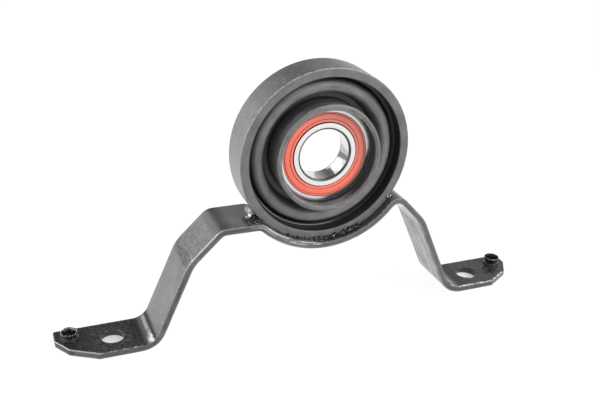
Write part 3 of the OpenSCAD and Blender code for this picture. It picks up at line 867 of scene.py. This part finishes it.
def moulded_rubber():
    """Satin rubber with faint streaks round the fold, dull inside the lip and dark there as painted shade,
    and torn flash at the lip's edge. Shade is painted in the fold's depths, on the collar's wall and on the
    lining's front, and highlights along the lip's inner edge and on the lining's edge."""
    f = Finish("moulded_rubber", IOR=1.5)
    x, y, z = f.split(f.place)
    radius = f.radius()
    streaks = f.streaks(0.8, 12)
    cloud = f.grain(6, 4)
    torn_at = ray(-TORN_ANGLE)
    lower_right = (torn_at.x * x + torn_at.y * z).math("DIVIDE", radius).math("MAXIMUM", 0.0)
    opened = LIP_OPENING * lower_right * (1 - (1 / LIP_REACH) * (y - LIP_FRONT)).math("MAXIMUM", 0.0)
    lip_bore = (radius - opened).above(LIP_R + 0.5, LIP_R + 0.15)
    inside = lip_bore * y.above(LIP_FRONT + 1.4, LIP_FRONT + 2.2)
    lip = radius.above(COLLAR_R + 0.3, COLLAR_R) * y.above(LIP_FRONT + 2.2, LIP_FRONT + 1.2)

    # The fold, with painted shade in its depths and at the left, lifted by painted light at the right
    tone = f.mix((0.7 * streaks + 0.3 * cloud).above(0.30, 0.70), grey(0.098), grey(0.184))
    outer = radius.above(CREST_R + 3.2, CREST_R + 4.4) * y.above(RING_FRONT + 1.5, RING_FRONT + 3.0)
    painted_groove_shade = (0.7 * y.above(CREST_Y + 3.0, CREST_Y + 8.5)).math("MAXIMUM", 0.8 * outer)
    tone = f.mix(painted_groove_shade, tone, grey(0.030))
    flank = radius.above(CREST_R - 1, CREST_R + 3)
    tone = f.mix(0.35 * flank * x.above(-22, -38), tone, grey(0.03))
    tone = f.mix(0.6 * painted_groove_shade * flank * x.above(20, 38), tone, grey(0.09))

    # The collar and its lip, with painted shade on the collar's wall except at the top, a painted highlight
    # along the lip's inner edge, and painted shade inside the lip
    painted_wall_shade = radius.above(COLLAR_R + 1.6, COLLAR_R + 0.5) * y.above(LIP_FRONT + 1.2, LIP_FRONT + 3.0)
    painted_wall_shade = painted_wall_shade * (1 - 0.9 * z.above(8, 24) * y.above(LIP_FRONT + 9.0, LIP_FRONT + 6.0))
    tone = f.mix(0.75 * painted_wall_shade, tone, grey(0.025))
    tone = f.mix(lip * cloud.above(0.3, 0.7), tone, grey(0.085))
    # Painted highlight, patchy, along the lip's inner edge
    torn = radius.above(LIP_R + 0.95, LIP_R + 0.6) * lip * f.grain(1.4, 4, 0.65).above(0.40, 0.58)
    tone = f.mix(0.8 * torn, tone, grey(0.26))
    # Painted shade inside the lip
    tone = f.mix(inside, tone, grey(0.005))
    flash = lip_bore * y.within(LIP_FRONT + 1.0, LIP_FRONT + 4.0, 0.8) * z.above(-12, -21) * x.above(20, 8)
    flash = flash * (0.3 + 0.7 * f.grain(1.1, 4, 0.65).above(0.38, 0.56))
    tone = f.mix(flash, tone, grey(0.15))

    # The front of the lining, dark as painted shade in the groove, with a thin painted highlight on its edge
    # below, and dust all over
    lining = radius.above(LINING_R - 0.2, LINING_R) * y.above(LINING_FRONT + 0.6, LINING_FRONT + 0.3)
    tone = f.mix(lining, tone, grey(0.012))
    line = lining * radius.within(LINING_R + 0.2, LINING_R + 0.5, 0.15)
    tone = f.mix(line * z.above(-18, -30) * x.above(14, 2), tone, grey(0.22))
    dust = f.grain(0.5, 2).above(0.70, 0.76)
    tone = f.mix(dust * 0.6, tone, grey(0.25))
    gloss = 0.30 + 0.22 * streaks + 0.10 * cloud + 0.3 * inside
    relief = 0.6 * f.grain(0.8, 3) + 0.4 * streaks
    return f.done(Base_Color=tone, Roughness=gloss, Normal=f.bump(relief, 0.035))


def race_steel():
    """Ground steel with fine turning lines, dark at the bore's chamfers and behind the seals. The outer race
    is satin outside the seals, and darker at the lower right with painted shade and a painted reflection of
    the lip."""
    f = Finish("race_steel")
    x, y, z = f.split(f.place)
    radius = f.radius()
    depth = HALF_W - y.math("ABSOLUTE")
    lines = f.node("ShaderNodeTexNoise", {"noise_dimensions": "1D"},
                   {"W": (radius + y) * 7.0, "Scale": 1.0})
    cloud = f.grain(4, 3)
    chamfer = (radius - BORE_R + depth).above(1.25, 1.0)
    gap = radius.within(INNER_LAND - 0.22, SEAL_MOUTH + 0.16, 0.10)
    tone = f.mix(lines, grey(0.70, 0.01), grey(0.84, 0.01))
    tone = f.mix(chamfer.math("MAXIMUM", gap), tone, grey(0.09))
    bore = radius.above(BORE_R + 0.4, BORE_R + 0.2)
    satin = radius.above(SEAL_MOUTH + 0.1, SEAL_MOUTH + 0.4)
    # Painted shade and painted reflection of the lip on the outer race at the lower right
    tone = f.mix(satin * (x - z).above(22, 31), tone, grey(0.07))
    gloss = 0.13 + 0.10 * lines + 0.06 * cloud + 0.12 * chamfer - 0.09 * bore + 0.15 * satin
    return f.done(Base_Color=tone, Metallic=1 - 0.6 * satin, Roughness=gloss,
                  Normal=f.bump(lines, 0.0015))


def seal_red():
    """Satin seal rubber with painted shade as a dark line in each pressed ring, and painted shade from the
    lip at the upper right.
    """
    f = Finish("seal_red", IOR=1.5)
    x, _, z = f.split(f.place)
    radius = f.radius()
    cloud = f.grain(5, 3)
    streaks = f.streaks(0.5, 14)
    tone = f.mix(0.5 * cloud + 0.5 * streaks, (0.71, 0.125, 0.082, 1), (0.86, 0.185, 0.125, 1))
    # Painted shade from the lip at the upper right
    tone = f.mix(0.28 * (x + z).above(0, 28), tone, (0.25, 0.22, 0.21, 1))
    # Painted shade in each pressed ring
    for middle in SEAL_RINGS:
        tone = f.mix(radius.within(middle - 0.10, middle + 0.10, 0.22) * 0.75, tone, (0.20, 0.022, 0.018, 1))
    tone = f.mix(radius.above(SEAL_LIP + 0.30, SEAL_LIP + 0.05) * 0.7, tone, (0.16, 0.02, 0.018, 1))
    return f.done(Base_Color=tone, Roughness=0.38 + 0.16 * cloud, Normal=f.bump(streaks, 0.012))


def sleeve_steel():
    f = Finish("sleeve_steel", Metallic=1.0)
    cloud = f.grain(3, 4)
    return f.done(Base_Color=f.mix(cloud, grey(0.35), grey(0.5)), Roughness=0.3 + 0.2 * cloud)


def bright_steel(name, low, high):
    f = Finish(name, Metallic=1.0)
    cloud = f.grain(2, 3)
    return f.done(Base_Color=f.mix(cloud, grey(low, 0.02), grey(high, 0.02)), Roughness=0.14 + 0.12 * cloud)


def collar_black():
    """Thick gloss coating, lumpy, with specks and a painted highlight along the rim: all round on the left
    collar, and at the front on the right one."""
    f = Finish("collar_black", IOR=1.4)
    x, y, z = f.split(f.place)
    cloud = f.grain(1.2, 4)
    top = UNDERSIDE + STRAP_T + PILOT_H
    left = x.above(0, -1)
    middle = PILOT_PLACES["right"].y
    rim = (z + CROWN_DROP * left).above(top - 0.9, top - 0.3)
    rim = rim * left.math("MAXIMUM", y.above(middle, middle - 2))
    # Painted highlight along the rim, patchy
    painted_highlight = rim * f.grain(1.0, 4, 0.7).above(0.50, 0.62)
    specks = f.grain(0.8, 3).above(0.66, 0.72)
    tone = f.mix(cloud, grey(0.004), grey(0.014))
    tone = f.mix(painted_highlight.math("MAXIMUM", specks), tone, grey(0.34))
    return f.done(Base_Color=tone, Roughness=0.06 + 0.10 * cloud, Normal=f.bump(cloud, 0.22))


def weld_metal():
    """Lumpy weld under gloss coating, bare and bright in the left notch and in a few specks."""
    f = Finish("weld_metal", IOR=1.3)
    x, y, _ = f.split(f.place)
    lumps = f.grain(1.3, 4, 0.6)
    left_bead = x.above(-33, -36) * y.above(BEAD_FRONT - 1.5, BEAD_FRONT)
    right_speck = x.above(33, 36) * y.above(RING_FRONT + 0.2, RING_FRONT - 0.2)
    left_bead = left_bead * y.above(BEAD_FRONT + 10, BEAD_FRONT + 5)
    bare = left_bead * lumps.above(0.40, 0.50) + right_speck * lumps.above(0.54, 0.62)
    bare = bare.math("MAXIMUM", 0.8 * f.grain(0.9, 2).above(0.62, 0.69))
    tone = f.mix(bare, f.mix(lumps, grey(0.006), grey(0.020)), grey(0.62))
    gloss = 0.12 + 0.16 * lumps + 0.14 * bare
    return f.done(Base_Color=tone, Metallic=0.9 * bare, Roughness=gloss, Normal=f.bump(lumps, 0.22))


def wear(material, *objects):
    """Gives a material to objects in place of their own."""
    for o in objects:
        o.data.materials.clear()
        o.data.materials.append(material)


wear(strap_paint(strap_bends), strap)
wear(ring_paint(), steel_ring)
wear(moulded_rubber(), rubber)
wear(race_steel(), inner_race, outer_race)
wear(seal_red(), front_seal, rear_seal)
wear(sleeve_steel(), bearing_seat)
wear(collar_black(), *collars)
wear(weld_metal(), *welds)
wear(bright_steel("cage_steel", 0.5, 0.62), *[o for n, o in nodes.items() if n.startswith("cage_")])
wear(bright_steel("ball_steel", 0.78, 0.86), *[o for n, o in nodes.items() if n.startswith("ball_")])


# Studio

# Softboxes: place, point faced, width, height and the brightness of the cloth
SOFTBOXES = {
    "front_left_softbox": ((-480, -640, 110), (0, 0, -10), 640, 460, 0.4),
    "left_softbox": ((-780, -40, 10), (0, 0, -30), 640, 420, 6.8),
    "front_right_softbox": ((560, -760, 90), (0, 0, -10), 560, 420, 1.3),
    "upper_right_softbox": ((600, -540, 480), (0, 0, 0), 420, 420, 8.2),
}
# Cards that only reflections show: centre, direction faced, width, height and brightness
CARDS = {
    "back_left_card": ((-891, 2100, 741), (0.372, -0.876, -0.309), 933, 1200, 1.4),
    "back_right_card": ((1002, 1968, 1275), (-0.393, -0.772, -0.5), 2070, 1650, 0.65),
    "back_high_card": ((-36, 2010, 1569), (0.014, -0.788, -0.616), 852, 1080, 0.14),
    "low_back_card": ((-308, 513, -36), (0.515, -0.857, 0), 420, 132, 0.30),
    "low_floor_card": ((-170, 390, UNDERSIDE + 1), (0, 0, 1), 320, 320, 0.72),
    "low_front_card": ((-170, -130, UNDERSIDE + 1), (0, 0, 1), 200, 200, 0.05),
    "camera_card": ((-420, -900, 420), (0.37, 0.87, -0.34), 900, 700, 0.12),
}
# Brightness at the left end of a card that fades
FADED = {"back_right_card": 0.13}
# Even light from all round
WORLD_LEVEL = 0.60
# Share of the floor that is plain white whatever falls on it, and the brightness of that share; what is left
# of it below a bolt hole, and how far from the hole it is whole again
FLOOR_SHARE, FLOOR_LEVEL = 0.88, 1.06
HOLE_SHARE, HOLE_SOFT = 0.35, 3.0
FLOOR_GAP, FLOOR_SIZE = 0.05, 12000


def card(name, centre, facing, width, height):
    """Flat rectangle of the studio that faces a direction."""
    bm = bmesh.new()
    bmesh.ops.create_grid(bm, x_segments=1, y_segments=1, size=0.5)
    turn = Vector(facing).to_track_quat("Z", "Y").to_matrix().to_4x4()
    size = Matrix.Diagonal((width, height, 1, 1))
    bm.transform(Matrix.Scale(MM, 4) @ Matrix.Translation(centre) @ turn @ size)
    mesh = bpy.data.meshes.new(name)
    bm.to_mesh(mesh)
    bm.free()
    made = bpy.data.objects.new(name, mesh)
    bpy.context.scene.collection.objects.link(made)
    return made


def make_floor():
    """White floor. Where it shows through a bolt hole, it keeps more of the shade under the foot."""
    f = Finish("floor_white", Roughness=0.9, Base_Color=grey(0.9))
    x, y, _ = f.split(f.place)
    aside = (x - BOLT_MID).math("ABSOLUTE") - BOLT_HALF
    away = y - STRAP_MID
    gap = (aside * aside + away * away).math("SQRT")
    lit = HOLE_SHARE + (1 - HOLE_SHARE) * gap.above(BOLT_R, BOLT_R + HOLE_SOFT)
    wear(f.glowing(FLOOR_SHARE * f.seen_directly() * lit, FLOOR_LEVEL),
         card("floor", (0, 0, UNDERSIDE - FLOOR_GAP), (0, 0, 1), FLOOR_SIZE, FLOOR_SIZE))


def make_cards():
    """Glowing cards that light nothing and show only in reflections."""
    for name, (centre, facing, width, height, level) in CARDS.items():
        made = card(name, centre, facing, width, height)
        cloth = Finish(name + "_cloth", Base_Color=grey(0.0), Specular_IOR_Level=0.0)
        share = 1.0
        if name in FADED:
            x = cloth.split(cloth.place)[0]
            least = FADED[name] / level
            share = least + (1 - least) * x.above(centre[0] - width / 2, centre[0] + width / 2)
        wear(cloth.glowing(share, level), made)
        made.visible_camera = False
        made.visible_diffuse = False
        made.visible_shadow = False


def make_softboxes():
    """Lamps whose power follows from the brightness and the size of their cloth."""
    for name, (place, aim, width, height, level) in SOFTBOXES.items():
        lamp = bpy.data.lights.new(name, "AREA")
        lamp.shape = "RECTANGLE"
        lamp.size, lamp.size_y = width * MM, height * MM
        lamp.energy = 4 * level * lamp.size * lamp.size_y
        made = bpy.data.objects.new(name, lamp)
        made.location = Vector(place) * MM
        made.rotation_euler = (Vector(aim) - Vector(place)).to_track_quat("-Z", "Y").to_euler()
        made.visible_camera = False
        bpy.context.scene.collection.objects.link(made)


def make_world():
    """White where it is seen directly, and elsewhere a dimmer, even light."""
    world = bpy.data.worlds.new("studio")
    world.use_nodes = True
    bpy.context.scene.world = world
    w = Wiring(world.node_tree)
    strength = WORLD_LEVEL + (1 - WORLD_LEVEL) * w.seen_directly()
    back = w.tree.nodes["Background"]
    back.inputs["Color"].default_value = grey(1.0)
    w.tree.links.new(strength.socket, back.inputs["Strength"])


def make_camera():
    data = bpy.data.cameras.new("camera")
    data.sensor_fit = "HORIZONTAL"
    data.sensor_width = SENSOR
    data.lens = LENS
    camera = bpy.data.objects.new("camera", data)
    camera.location = CAMERA_PLACE * MM
    aimed = Euler((math.radians(CAMERA_TILT), 0, math.radians(CAMERA_HEADING))).to_matrix()
    camera.rotation_euler = (aimed @ Matrix.Rotation(math.radians(CAMERA_ROLL), 3, "Z")).to_euler()
    bpy.context.scene.collection.objects.link(camera)
    bpy.context.scene.camera = camera


make_floor()
make_cards()
make_softboxes()
make_world()
make_camera()
bpy.context.scene.view_settings.view_transform = "Standard"
